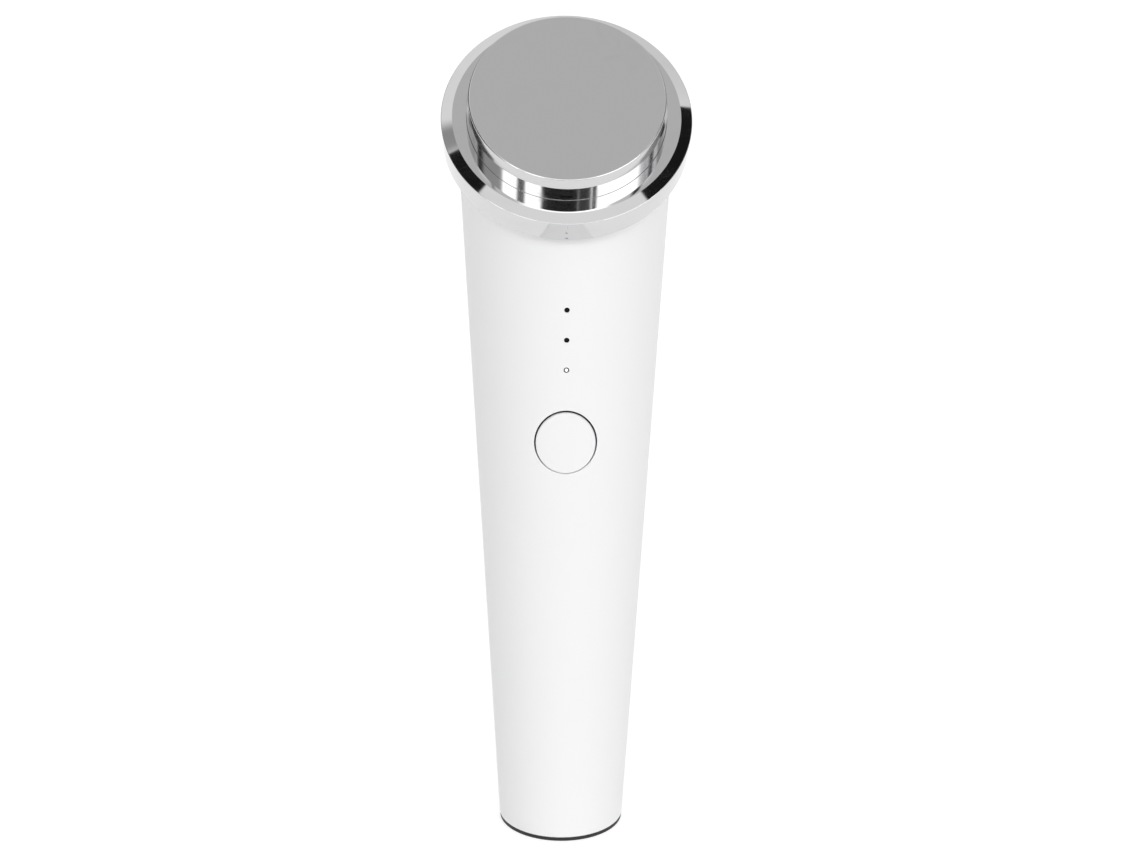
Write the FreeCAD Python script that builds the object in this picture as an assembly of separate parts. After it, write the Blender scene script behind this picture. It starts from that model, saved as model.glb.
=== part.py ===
"""Hand-held ultrasonic skin scrubber: a tapered one-piece handle with a tilted round metal head.

Origin: centre of the resting face, under the foot.  +Z runs up the handle's axis, -Y is the
button side, and the treatment face looks up and towards -Y.  Millimetres and degrees.
"""
import FreeCAD, Part
import math
import os

from FreeCAD import Vector, Placement, Rotation, Matrix

# ---------------------------------------------------------------- driving dimensions
# handle: a circular cone that widens upwards and bends forward into the head
SHELL_Z = 0.9            # lower end of the sleeve above the surface it stands on
SHELL_RADIUS = 13.0      # outer radius at that end
TAPER = 0.056            # radius gained per millimetre of height
WALL = 1.8               # sleeve wall
BEND_Z = 125.0           # height where the cross-sections start to tilt
BEND_SECTIONS = 9        # cross-sections from there to the head, each tilted further
OUTLINE_POINTS = 16      # points that each cross-section's outline passes through

# head: round parts stacked along an axis that leans forward
HEAD_TILT = 40.5         # head axis from the vertical
HEAD_Y = -4.1            # centre of the ring's lower face
HEAD_Z = 151.0
COLLAR_RADIUS = 21.9     # sleeve's collar, captured under the ring
COLLAR_HEIGHT = 1.1
MOUTH_BACK = 21.2        # from the head axis to the back of the sleeve's mouth
RING_RADIUS = 24.5
RING_WALL_TOP = 6.1
RIM_RADIUS = 22.3
RIM_TOP = 6.8
RING_BORE = 19.75        # opening that the metal plate stands in
THREAD_RADIUS = 20.9     # ring's inner wall, screwed on the carrier
PLATE_RADIUS = 19.5
PLATE_LIP_RADIUS = 20.8
FACE_RADIUS = 19.1
FACE_TOP = 13.2
FACE_BEVEL = 2.4         # height of the conical band under the face
PLATE_WALL = 0.8
FACE_WALL = 1.0
LIP_LOW = 4.1
GASKET_THICK = 0.5
PIEZO_RADIUS = 14.0
PIEZO_THICK = 1.2
DAMPER_THICK = 2.0
GLUE = 0.05              # bonded gaps

# button and lights, on the front line of the handle
BUTTON_Z = 91.8
BUTTON_WIDTH = 11.95
BUTTON_HEIGHT = 13.15
BUTTON_GAP = 0.3
BUTTON_TRAVEL = 0.5
FLANGE_REACH = 1.3       # how far the button's flange runs under the sleeve
FLANGE_DEPTH = 4.6
STEM_RADIUS = 1.6
STEM_DEPTH = 5.4
LIGHT_LOW_Z = 107.4
LIGHT_PITCH = 6.35
LIGHT_COUNT = 3
LIGHT_NAMES = ("low", "mid", "high")
DARK_LIGHT_RADIUS = 0.4
LIT_LIGHT_RADIUS = 0.5
GUIDE_RADIUS = 1.0

# control board, parallel to the handle's front line
BOARD_DEPTH = 9.5        # its front face under the handle's surface
BOARD_THICK = 1.6
BOARD_WIDTH = 19.0
BOARD_LOW = -31.0        # ends, along the front line from the button
BOARD_HIGH = 40.0
SWITCH_SIZE = 6.0
SWITCH_HEIGHT = 3.3
PLUNGER_RADIUS = 1.7

# inner frame, battery and base
FRAME_GAP = 1.5          # from the board to the frame's web
FRAME_WEB = 1.6
FRAME_WIDTH = 22.0
CELL_RADIUS = 7.0
CELL_LENGTH = 49.0
CELL_Y = 4.2
CELL_Z = 16.0
BASE_DISC_Z = 9.6
BASE_DISC_THICK = 1.6
CAP_TOP = 7.4
CAP_RIM_RADIUS = 12.9
CAP_RIM_LOW = 0.15
PAD_RADIUS = 12.3
PAD_THICK = 0.6
BASE_SCREW_X = 8.8
SOCKET_WIDTH = 8.94
SOCKET_DEPTH = 3.26
SOCKET_LENGTH = 7.3
WIRE_RADIUS = 0.55
FIT = 0.05               # clearance between pieces that are pushed together

# ---------------------------------------------------------------- frames and derived sizes
TAPER_ANGLE = math.degrees(math.atan(TAPER))
TILT = math.radians(HEAD_TILT)
HEAD = Placement(Vector(0, HEAD_Y, HEAD_Z), Rotation(Vector(1, 0, 0), HEAD_TILT))
HEAD_AXIS = HEAD.Rotation.multVec(Vector(0, 0, 1))
UP = Vector(0, 0, 1)


def outer_radius(z):
    """Outer radius of the handle's cone at a height."""
    return SHELL_RADIUS + TAPER * (z - SHELL_Z)


FRONT = Placement(Vector(0, -outer_radius(BUTTON_Z), BUTTON_Z),
                  Rotation(Vector(1, 0, 0), 90 + TAPER_ANGLE))


def along_front(z):
    """Distance up the front line from the button's centre to a height."""
    return (z - BUTTON_Z) / math.cos(math.radians(TAPER_ANGLE))


# ---------------------------------------------------------------- shape helpers
def in_head(shape):
    """Move a shape drawn about +Z into the head's frame."""
    return shape.transformGeometry(HEAD.toMatrix())


def on_front(shape):
    """Move a shape drawn on the XY plane onto the front line: X right, Y up the handle, Z outward."""
    moved = shape.copy()
    moved.Placement = FRONT.multiply(moved.Placement)
    return moved


def disc(radius, low, high, x=0.0, y=0.0):
    """Upright cylinder between two heights."""
    return Part.makeCylinder(radius, high - low, Vector(x, y, low), UP)


def block(width, depth, low, high, x=0.0, y=0.0):
    """Upright box between two heights, centred on (x, y)."""
    return Part.makeBox(width, depth, high - low, Vector(x - width / 2, y - depth / 2, low))


def turned(outline):
    """Solid of revolution about +Z from (radius, height) points."""
    points = [Vector(radius, 0, height) for radius, height in outline]
    face = Part.Face(Part.makePolygon(points + [points[0]]))
    return face.revolve(Vector(0, 0, 0), UP, 360)


def in_head_turned(outline):
    """Solid of revolution about the head's axis."""
    solid = turned(outline)
    solid.Placement = HEAD
    return solid


def oval_prism(width, height, low, high):
    """Oval column on the XY plane, between two levels of its own frame."""
    column = Part.makeCylinder(1, high - low, Vector(0, 0, low), UP)
    scale = Matrix()
    scale.scale(Vector(width / 2, height / 2, 1))
    return column.transformGeometry(scale)


def stadium(length, width, low, high, y=0.0):
    """Upright column with a round-ended slot outline along X."""
    reach = (length - width) / 2
    column = block(2 * reach, width, low, high, 0, y)
    for side in (-1, 1):
        column = column.fuse(disc(width / 2, low, high, side * reach, y))
    return column.removeSplitter()


def screw(head_radius, head_height, shank_radius, shank_length):
    """Pan-head screw: head above z = 0, shank below it, with a cross recess."""
    body = disc(head_radius, 0, head_height)
    body = body.makeFillet(head_height * 0.35, [body.Edges[0]])
    body = body.fuse(disc(shank_radius, -shank_length, 0))
    recess_length = head_radius * 1.1
    recess_width = head_radius * 0.25
    for width, depth in ((recess_length, recess_width), (recess_width, recess_length)):
        body = body.cut(block(width, depth, head_height * 0.45, head_height + 1))
    return body.removeSplitter()


def wire(points, radius=WIRE_RADIUS):
    """Round insulated wire along a smooth curve through points."""
    curve = Part.BSplineCurve()
    curve.interpolate([Vector(*point) for point in points])
    path = Part.Wire(curve.toShape())
    start = curve.value(curve.FirstParameter)
    heading = curve.tangent(curve.FirstParameter)[0]
    profile = Part.Wire(Part.makeCircle(radius, start, heading))
    return path.makePipeShell([profile], True, True)


def front_point(x, z, depth):
    """Point at a depth under the handle's front line, at a height given for the surface."""
    point = FRONT.multVec(Vector(x, along_front(z), -depth))
    return (point.x, point.y, point.z)


def head_point(x, forward, height):
    """Point in the head's frame: forward of its axis and above the ring's lower face."""
    point = HEAD.multVec(Vector(x, -forward, height))
    return (point.x, point.y, point.z)


# ---------------------------------------------------------------- handle form
def bend_arc():
    """Centre (y, z), radius and starting height of the arc at the back of the bend.

    The arc leaves the cone's back line and arrives square to the ring's lower face.
    """
    lean = math.radians(TAPER_ANGLE)
    back_y = HEAD_Y + MOUTH_BACK * math.cos(TILT)
    back_z = HEAD_Z + MOUTH_BACK * math.sin(TILT)
    cone_y = outer_radius(0)
    slope = math.tan(TILT)
    meet_z = (back_y + slope * back_z - cone_y) / (TAPER + slope)
    meet_y = cone_y + TAPER * meet_z
    reach = math.hypot(back_y - meet_y, back_z - meet_z)
    radius = reach / math.tan((lean + TILT) / 2)
    start_y = meet_y - reach * math.sin(lean)
    start_z = meet_z - reach * math.cos(lean)
    centre = (start_y - radius * math.cos(lean), start_z + radius * math.sin(lean))
    return centre, radius, start_z


def tilted_section(angle, inset):
    """Ellipse where a plane, turned about the bend's pivot line, cuts the inset handle."""
    pivot_y = HEAD_Y - (HEAD_Z - BEND_Z) / math.tan(TILT)
    cone = outer_radius(0) - inset / math.cos(math.radians(TAPER_ANGLE))
    base = cone + TAPER * BEND_Z
    cos, sin = math.cos(angle), math.sin(angle)
    front = (-base - pivot_y) / (cos + TAPER * sin)
    back = (base - pivot_y) / (cos - TAPER * sin)
    (arc_y, arc_z), arc_radius, arc_start = bend_arc()
    if BEND_Z + back * sin > arc_start:
        away_y, away_z = pivot_y - arc_y, BEND_Z - arc_z
        half = away_y * cos + away_z * sin
        rest = away_y ** 2 + away_z ** 2 - (arc_radius - inset) ** 2
        back = -half + math.sqrt(half ** 2 - rest)
    middle = (front + back) / 2
    centre = Vector(0, pivot_y + middle * cos, BEND_Z + middle * sin)
    half_width = cone + TAPER * centre.z
    half_depth = (back - front) / 2
    place = Placement(centre, Rotation(Vector(1, 0, 0), math.degrees(angle)))
    return ellipse_wire(half_width, half_depth, place)


def cone_form(inset, low, high):
    """The handle's cone, inset by a wall, between two heights."""
    shift = inset / math.cos(math.radians(TAPER_ANGLE))
    return Part.makeCone(outer_radius(low) - shift, outer_radius(high) - shift, high - low,
                         Vector(0, 0, low), UP)


def ellipse_wire(half_width, half_depth, place):
    """Smooth closed curve through evenly turned points of an ellipse."""
    angles = [2 * math.pi * step / OUTLINE_POINTS for step in range(OUTLINE_POINTS)]
    points = [place.multVec(Vector(half_width * math.sin(angle), half_depth * math.cos(angle), 0))
              for angle in angles]
    curve = Part.BSplineCurve()
    curve.interpolate(Points=points, PeriodicFlag=True, Parameters=angles + [2 * math.pi])
    return Part.Wire(curve.toShape())


def level_section(z, inset):
    """Horizontal circle of the inset handle at a height."""
    radius = outer_radius(z) - inset / math.cos(math.radians(TAPER_ANGLE))
    return ellipse_wire(radius, radius, Placement(Vector(0, 0, z), Rotation()))


def handle_form(inset, low, beyond=0.0):
    """Solid outline of the handle, and straight on beyond the ring's lower face."""
    sections = [level_section(low, inset)]
    sections += [tilted_section(TILT * step / (BEND_SECTIONS - 1), inset)
                 for step in range(BEND_SECTIONS)]
    if beyond:
        last = sections[-1].copy()
        last.translate(HEAD_AXIS * beyond)
        sections.append(last)
    return Part.makeLoft(sections, True, True)


# ---------------------------------------------------------------- handle and base
def handle_sleeve():
    """One-piece white sleeve with a collar for the ring, a button opening and light holes."""
    collar = disc(COLLAR_RADIUS, 0, COLLAR_HEIGHT)
    collar.Placement = HEAD
    sleeve = handle_form(0, SHELL_Z).fuse(collar)
    sleeve = sleeve.cut(handle_form(WALL, SHELL_Z - 1, 2 * COLLAR_HEIGHT))
    opening = oval_prism(BUTTON_WIDTH + 2 * BUTTON_GAP, BUTTON_HEIGHT + 2 * BUTTON_GAP, -5, 3)
    sleeve = sleeve.cut(on_front(opening))
    for index in range(LIGHT_COUNT):
        hole = disc(light_radius(index) + 0.02, -4, 3, 0, light_level(index))
        sleeve = sleeve.cut(on_front(hole))
    return sleeve


def base_cap():
    """Dark plug that closes the sleeve from below, with a pocket for the charging board."""
    plug = cone_form(WALL + FIT, SHELL_Z, CAP_TOP)
    cap = plug.fuse(disc(CAP_RIM_RADIUS, CAP_RIM_LOW, SHELL_Z))
    cap = cap.cut(disc(PAD_RADIUS + FIT, 0, PAD_THICK + FIT))
    cap = cap.cut(block(13.2, 10.6, 2.0, CAP_TOP + 1))
    cap = cap.cut(stadium(SOCKET_WIDTH + 0.3, SOCKET_DEPTH + 0.3, 0, CAP_TOP))
    for side in (-1, 1):
        cap = cap.cut(disc(1.15, 0, CAP_TOP + 1, side * BASE_SCREW_X))
        cap = cap.cut(disc(1.95, 0, 2.4, side * BASE_SCREW_X))
    return cap


def base_screws():
    """Two screws from the underside, through the cap into the inner frame."""
    screws = []
    for side in (-1, 1):
        body = screw(1.8, 1.3, 1.0, 10.0)
        body.rotate(Vector(0, 0, 0), Vector(1, 0, 0), 180)
        body.translate(Vector(side * BASE_SCREW_X, 0, 2.35))
        screws.append(body)
    return Part.makeCompound(screws)


def foot_pad():
    """Dark rubber foot with a slot round the charging socket."""
    pad = disc(PAD_RADIUS, 0, PAD_THICK)
    pad = pad.makeFillet(0.2, [edge for edge in pad.Edges if edge.CenterOfMass.z < 0.01])
    return pad.cut(stadium(SOCKET_WIDTH + 1.6, SOCKET_DEPTH + 1.6, -1, 2))


# ---------------------------------------------------------------- charging socket
def charging_socket_shell():
    """Steel shell of the reversible charging socket, open downwards."""
    low = PAD_THICK + 0.1
    shell = stadium(SOCKET_WIDTH, SOCKET_DEPTH, low, low + SOCKET_LENGTH)
    return shell.cut(stadium(SOCKET_WIDTH - 0.6, SOCKET_DEPTH - 0.6, low - 1, low + SOCKET_LENGTH - 0.8))


def charging_socket_tongue():
    """Contact tongue inside the charging socket."""
    low = PAD_THICK + 0.1
    return block(6.7, 0.7, low + 0.9, low + SOCKET_LENGTH - 0.82)


def charging_board():
    """Small board that carries the charging socket."""
    low = PAD_THICK + 0.1 + SOCKET_LENGTH + 0.02
    return block(12.6, 10.0, low, low + 0.8)


# ---------------------------------------------------------------- inner frame
def web_column(width, y_low, y_high, depth_high, depth_low):
    """Box parallel to the front line, given by its ends and its depths under the surface."""
    box = Part.makeBox(width, y_high - y_low, depth_low - depth_high,
                       Vector(-width / 2, y_low, -depth_low))
    return on_front(box)


def board_screw_places():
    """Corner places of the board's screws: across and up the front line."""
    inset = 2.6
    across = BOARD_WIDTH / 2 - inset
    levels = (BOARD_LOW + 8.0, BOARD_HIGH - inset)
    return [(side * across, level) for side in (-1, 1) for level in levels]


def inner_frame():
    """Moulded spine: base disc, battery rails, board web and the tilted disc under the carrier."""
    web_front = BOARD_DEPTH + BOARD_THICK + FRAME_GAP
    web = web_column(FRAME_WIDTH, BOARD_LOW + 5.6, BOARD_HIGH + 30, web_front, web_front + FRAME_WEB)
    ceiling = disc(60, -4.0, 60)
    ceiling.Placement = HEAD
    frame = web.cut(ceiling)
    top_disc = disc(16.5, -5.6, -4.0)
    top_disc.Placement = HEAD
    frame = frame.fuse(top_disc)
    rail_top = 70.0
    for side in (-1, 1):
        rail = block(1.6, 9.0, BASE_DISC_Z, rail_top, side * 8.6, -0.6)
        frame = frame.fuse(rail)
    lintel = block(18.8, 3.2, CELL_Z + CELL_LENGTH + 1.2, rail_top, 0, -1.9)
    frame = frame.fuse(lintel)
    frame = frame.fuse(disc(10.9, BASE_DISC_Z, BASE_DISC_Z + BASE_DISC_THICK))
    for side in (-1, 1):
        frame = frame.fuse(disc(2.0, CAP_TOP + 0.02, 14.0, side * BASE_SCREW_X))
        frame = frame.cut(disc(1.02, CAP_TOP, 13.0, side * BASE_SCREW_X))
    post_low = -web_front
    for across, level in board_screw_places():
        post = disc(1.9, post_low - 0.2, -BOARD_DEPTH - BOARD_THICK, across, level)
        frame = frame.fuse(on_front(post))
        frame = frame.cut(on_front(disc(0.82, post_low - 0.3, 0, across, level)))
    lead_hole = disc(2.6, -8, 0, 0, -11.0)
    lead_hole.Placement = HEAD
    frame = frame.cut(lead_hole)
    for x, y in carrier_screw_places():
        pilot = disc(1.02, -6.7, 0, x, y)
        pilot.Placement = HEAD
        frame = frame.cut(pilot)
    frame = frame.cut(block(10, 10, BASE_DISC_Z - 1, BASE_DISC_Z + 3, 0, -8.0))
    return frame


# ---------------------------------------------------------------- battery
def battery_cell():
    """Rechargeable cylindrical cell behind the control board."""
    cell = disc(CELL_RADIUS, CELL_Z, CELL_Z + CELL_LENGTH, 0, CELL_Y)
    cell = cell.makeFillet(0.5, [edge for edge in cell.Edges if edge.Curve.TypeId == "Part::GeomCircle"])
    return cell.fuse(disc(2.6, CELL_Z + CELL_LENGTH, CELL_Z + CELL_LENGTH + 0.6, 0, CELL_Y))


def battery_tabs():
    """Nickel strips welded on both ends of the cell."""
    top = CELL_Z + CELL_LENGTH + 0.6
    upper = block(3.0, 9.0, top, top + 0.15, 0, CELL_Y - 4.5)
    lower = block(3.0, 9.0, CELL_Z - 0.15, CELL_Z, 0, CELL_Y - 4.5)
    return Part.makeCompound([upper, lower])


def battery_foam():
    """Foam pad that the cell stands on."""
    pad = disc(6.2, BASE_DISC_Z + BASE_DISC_THICK, CELL_Z - 0.2, 0, CELL_Y)
    return pad.common(cone_form(WALL + 0.3, SHELL_Z, 30))


# ---------------------------------------------------------------- control board
def light_radius(index):
    """Visible radius of a light: the lowest one is the lit one and slightly larger."""
    return LIT_LIGHT_RADIUS if index == 0 else DARK_LIGHT_RADIUS


def light_level(index):
    """Place of a light up the front line from the button."""
    return along_front(LIGHT_LOW_Z + index * LIGHT_PITCH)


def control_board():
    """Main board, parallel to the handle's front line."""
    board = web_column(BOARD_WIDTH, BOARD_LOW, BOARD_HIGH, BOARD_DEPTH, BOARD_DEPTH + BOARD_THICK)
    for across, level in board_screw_places():
        board = board.cut(on_front(disc(1.1, -BOARD_DEPTH - 3, 0, across, level)))
    return board


def board_screws():
    """Four small screws that hold the board on the frame's posts."""
    screws = []
    for across, level in board_screw_places():
        body = screw(1.6, 1.0, 0.8, 3.0)
        body.translate(Vector(across, level, -BOARD_DEPTH + 0.01))
        screws.append(on_front(body))
    return Part.makeCompound(screws)


def board_part(width, height, thick, x, level, lift=0.02):
    """Box soldered on the board's front."""
    low = -BOARD_DEPTH + lift
    return on_front(Part.makeBox(width, height, thick, Vector(x - width / 2, level - height / 2, low)))


def control_chip():
    """Microcontroller."""
    return board_part(5.0, 5.0, 0.9, -3.6, -11.5)


def driver_inductor():
    """Square shielded coil that steps the battery's voltage up for the transducer."""
    return board_part(8.0, 8.0, 4.0, 0, -20.5)


def board_capacitors():
    """Three ceramic capacitors."""
    spots = ((4.4, -9.5), (4.4, -12.0), (4.4, -14.5))
    return Part.makeCompound([board_part(3.2, 1.6, 1.4, x, level) for x, level in spots])


def indicator_leds():
    """Three surface lamps behind the light guides."""
    return Part.makeCompound([board_part(1.6, 0.8, 0.6, 0, light_level(index))
                              for index in range(LIGHT_COUNT)])


def light_guide(index):
    """Clear pin from a lamp to the handle's surface."""
    tip = disc(light_radius(index), -3.0, 2.0, 0, light_level(index))
    trunk = disc(GUIDE_RADIUS, -BOARD_DEPTH + 0.8, -2.6, 0, light_level(index))
    high = LIGHT_LOW_Z + LIGHT_PITCH * LIGHT_COUNT
    return on_front(tip.fuse(trunk)).common(cone_form(0, BUTTON_Z, high))


def light_baffle():
    """Black block that keeps the three lights apart."""
    low, high = light_level(0) - 3.0, light_level(LIGHT_COUNT - 1) + 3.0
    baffle = web_column(5.0, low, high, 2.9, BOARD_DEPTH - 0.75)
    for index in range(LIGHT_COUNT):
        baffle = baffle.cut(on_front(disc(GUIDE_RADIUS + FIT, -BOARD_DEPTH, 0, 0, light_level(index))))
    return baffle


# ---------------------------------------------------------------- button and switch
def power_button():
    """White oval button, flush with the handle, with a flange behind the sleeve and a stem."""
    cap = on_front(oval_prism(BUTTON_WIDTH, BUTTON_HEIGHT, -FLANGE_DEPTH, 3))
    cap = cap.common(cone_form(0, BUTTON_Z - 15, BUTTON_Z + 15))
    reach = 2 * (BUTTON_GAP + FLANGE_REACH)
    flange = on_front(oval_prism(BUTTON_WIDTH + reach, BUTTON_HEIGHT + reach, -FLANGE_DEPTH, 0))
    flange = flange.common(cone_form(WALL + 0.15, BUTTON_Z - 15, BUTTON_Z + 15))
    stem = on_front(disc(STEM_RADIUS, -STEM_DEPTH, -FLANGE_DEPTH))
    return cap.fuse(flange).fuse(stem).removeSplitter()


def switch_body():
    """Push switch under the button, with a well for its plunger."""
    size = SWITCH_SIZE
    top = -BOARD_DEPTH + SWITCH_HEIGHT
    body = Part.makeBox(size, size, SWITCH_HEIGHT - 0.02, Vector(-size / 2, -size / 2, -BOARD_DEPTH + 0.02))
    body = body.cut(disc(PLUNGER_RADIUS + FIT, -BOARD_DEPTH + 0.5, top + 1))
    return on_front(body)


def switch_plunger():
    """Moving plunger of the push switch."""
    return on_front(disc(PLUNGER_RADIUS, -BOARD_DEPTH + 1.2, -STEM_DEPTH - 0.02))


# ---------------------------------------------------------------- head
def head_ring():
    """Bright plated ring: straight wall, bevelled shoulder, flat rim, threaded inside."""
    outline = [(COLLAR_RADIUS + FIT, 0), (RING_RADIUS - 0.25, 0), (RING_RADIUS, 0.25),
               (RING_RADIUS, RING_WALL_TOP), (RIM_RADIUS, RIM_TOP), (RING_BORE, RIM_TOP),
               (RING_BORE, LIP_LOW + PLATE_WALL + GASKET_THICK),
               (THREAD_RADIUS, LIP_LOW + PLATE_WALL + GASKET_THICK),
               (THREAD_RADIUS, COLLAR_HEIGHT + 0.2), (COLLAR_RADIUS + FIT, COLLAR_HEIGHT + 0.2)]
    return in_head_turned(outline)


def treatment_plate():
    """Polished metal cup that touches the skin, with a lip held under the ring."""
    inner = PLATE_RADIUS - PLATE_WALL
    outline = [(PLATE_LIP_RADIUS, LIP_LOW), (PLATE_LIP_RADIUS, LIP_LOW + PLATE_WALL),
               (PLATE_RADIUS, LIP_LOW + PLATE_WALL), (PLATE_RADIUS, FACE_TOP - FACE_BEVEL),
               (FACE_RADIUS + 0.06, FACE_TOP - 0.22), (FACE_RADIUS - 0.22, FACE_TOP), (0, FACE_TOP),
               (0, FACE_TOP - FACE_WALL), (inner - 0.5, FACE_TOP - FACE_WALL),
               (inner, FACE_TOP - FACE_WALL - 0.5), (inner, LIP_LOW)]
    return in_head_turned(outline)


def plate_gasket():
    """Silicone seal between the plate's lip and the ring."""
    low = LIP_LOW + PLATE_WALL
    return in_head_turned([(RING_BORE + 0.2, low), (PLATE_LIP_RADIUS, low),
                           (PLATE_LIP_RADIUS, low + GASKET_THICK), (RING_BORE + 0.2, low + GASKET_THICK)])


def piezo_disc():
    """Ultrasonic transducer bonded behind the face."""
    high = FACE_TOP - FACE_WALL - GLUE
    return in_head_turned([(0, high - PIEZO_THICK), (PIEZO_RADIUS, high - PIEZO_THICK),
                           (PIEZO_RADIUS, high), (0, high)])


def piezo_damper():
    """Soft ring behind the transducer."""
    high = FACE_TOP - FACE_WALL - GLUE - PIEZO_THICK - 0.02
    return in_head_turned([(8.0, high - DAMPER_THICK), (PIEZO_RADIUS, high - DAMPER_THICK),
                           (PIEZO_RADIUS, high), (8.0, high)])


def carrier_screw_places():
    """Three places on the carrier's floor, on a circle about the head's axis."""
    radius, first, count = 13.0, 90.0, 3
    angles = [math.radians(first + 360.0 * step / count) for step in range(count)]
    return [(radius * math.cos(angle), radius * math.sin(angle)) for angle in angles]


def head_carrier():
    """Inner ring that the bright ring screws on; it clamps the plate's lip and holds the frame."""
    outline = [(15.4, -2.4), (9.0, -2.4), (9.0, -3.98), (17.0, -3.98), (17.0, COLLAR_HEIGHT + 0.2),
               (THREAD_RADIUS - FIT, COLLAR_HEIGHT + 0.2), (THREAD_RADIUS - FIT, 3.2),
               (PLATE_LIP_RADIUS - 0.1, LIP_LOW), (PLATE_RADIUS - PLATE_WALL + 0.1, LIP_LOW), (15.4, 3.2)]
    carrier = turned(outline)
    for x, y in carrier_screw_places():
        carrier = carrier.cut(disc(1.1, -5, 0, x, y))
    carrier = carrier.cut(disc(2.6, -5, 0, 0, -11.0))
    carrier.Placement = HEAD
    return carrier


def carrier_screws():
    """Three screws that pull the frame's tilted disc up against the carrier."""
    screws = []
    for x, y in carrier_screw_places():
        body = screw(1.9, 1.3, 1.0, 4.2)
        body.translate(Vector(x, y, -2.38))
        body.Placement = HEAD.multiply(body.Placement)
        screws.append(body)
    return Part.makeCompound(screws)


def collar_seal():
    """Flat silicone ring between the sleeve's collar and the carrier."""
    return in_head_turned([(20.1, COLLAR_HEIGHT), (COLLAR_RADIUS - 0.1, COLLAR_HEIGHT),
                           (COLLAR_RADIUS - 0.1, COLLAR_HEIGHT + 0.2), (20.1, COLLAR_HEIGHT + 0.2)])


# ---------------------------------------------------------------- wires
def battery_wire(side):
    """Lead from one end of the cell, down in front of it, round the board's lower end."""
    if side > 0:
        start = CELL_Z + CELL_LENGTH - 0.1
        points = [(1.0, -4.15, start), (1.6, -4.15, start - 3.5), (2.6, -4.6, 58.5), (3.8, -6.4, 57.4)]
    else:
        points = [(-1.0, -4.15, CELL_Z + 0.1), (-1.1, -4.2, 30), (-1.6, -4.2, 48), (-3.4, -6.2, 57.4)]
    points += [front_point(side * 4.6, 61.5, 8.9), front_point(side * 5.0, 64.5, 8.9)]
    return wire(points)


def charging_wires():
    """Two leads from the charging board to the control board."""
    leads = []
    for x in (-0.65, 0.65):
        leads.append(wire([(x, -4.2, 8.9), (x, -4.9, 12), (x, -5.7, 18), (x, -5.8, 50),
                           (x, -6.9, 57.5), front_point(x, 61.5, 8.8), front_point(x, 64.5, 8.9)]))
    return Part.makeCompound(leads)


def transducer_wires():
    """Two leads from the board's upper end through the carrier to the transducer."""
    leads = []
    for side in (-1, 1):
        x = side * 1.2
        leads.append(wire([front_point(x, 125.5, 8.9), front_point(x, 132.5, 8.7),
                           head_point(x, 13.5, -7.6), head_point(x, 11.2, -4.8), head_point(x, 11.0, -1.0),
                           head_point(side * 2.6, 7.0, 6.5), head_point(side * 3.0, 5.0, 10.3)]))
    return Part.makeCompound(leads)


# ---------------------------------------------------------------- files
def nodes():
    """Every sub-part by its node name."""
    shapes = {
        "handle_sleeve": handle_sleeve(),
        "base_cap": base_cap(),
        "base_screws": base_screws(),
        "foot_pad": foot_pad(),
        "charging_socket_shell": charging_socket_shell(),
        "charging_socket_tongue": charging_socket_tongue(),
        "charging_board": charging_board(),
        "charging_wires": charging_wires(),
        "inner_frame": inner_frame(),
        "battery_cell": battery_cell(),
        "battery_tabs": battery_tabs(),
        "battery_foam": battery_foam(),
        "battery_wire_red": battery_wire(1),
        "battery_wire_black": battery_wire(-1),
        "control_board": control_board(),
        "board_screws": board_screws(),
        "control_chip": control_chip(),
        "driver_inductor": driver_inductor(),
        "board_capacitors": board_capacitors(),
        "indicator_leds": indicator_leds(),
        "light_baffle": light_baffle(),
        "power_button": power_button(),
        "switch_body": switch_body(),
        "switch_plunger": switch_plunger(),
        "head_ring": head_ring(),
        "treatment_plate": treatment_plate(),
        "plate_gasket": plate_gasket(),
        "piezo_disc": piezo_disc(),
        "piezo_damper": piezo_damper(),
        "head_carrier": head_carrier(),
        "carrier_screws": carrier_screws(),
        "collar_seal": collar_seal(),
        "transducer_wires": transducer_wires(),
    }
    for index in range(LIGHT_COUNT):
        shapes["light_guide_" + LIGHT_NAMES[index]] = light_guide(index)
    return shapes


def main():
    """Write one STEP file per node."""
    os.makedirs("parts", exist_ok=True)
    for name, shape in nodes().items():
        shape.exportStep("parts/" + name + ".step")


main()
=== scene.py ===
"""Looks of a hand-held ultrasonic skin scrubber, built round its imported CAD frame.  Metres."""
import math

import bmesh
import bpy
import numpy as np
from bpy.props import FloatProperty, FloatVectorProperty, IntProperty, PointerProperty
from mathutils import Matrix, Vector


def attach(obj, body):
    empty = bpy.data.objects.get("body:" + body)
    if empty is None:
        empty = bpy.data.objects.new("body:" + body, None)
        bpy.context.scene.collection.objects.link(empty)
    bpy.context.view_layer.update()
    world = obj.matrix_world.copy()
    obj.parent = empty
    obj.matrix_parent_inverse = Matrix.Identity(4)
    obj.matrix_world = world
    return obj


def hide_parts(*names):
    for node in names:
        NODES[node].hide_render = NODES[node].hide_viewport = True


bl_info = {
    "name": "Skin Scrubber",
    "version": (1, 0, 0),
    "blender": (4, 5, 0),
    "location": "View3D > Sidebar > Scrubber",
    "description": "Builds a hand-held skin scrubber with a tapered handle and a round polished head",
    "category": "Add Mesh",
}

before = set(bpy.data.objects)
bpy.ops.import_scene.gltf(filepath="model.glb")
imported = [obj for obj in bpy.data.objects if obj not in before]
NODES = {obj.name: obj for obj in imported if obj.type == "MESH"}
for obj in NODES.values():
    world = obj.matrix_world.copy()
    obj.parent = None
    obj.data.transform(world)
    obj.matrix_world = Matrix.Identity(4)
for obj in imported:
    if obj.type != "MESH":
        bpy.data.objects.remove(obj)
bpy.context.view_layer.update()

MM = 0.001


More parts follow.
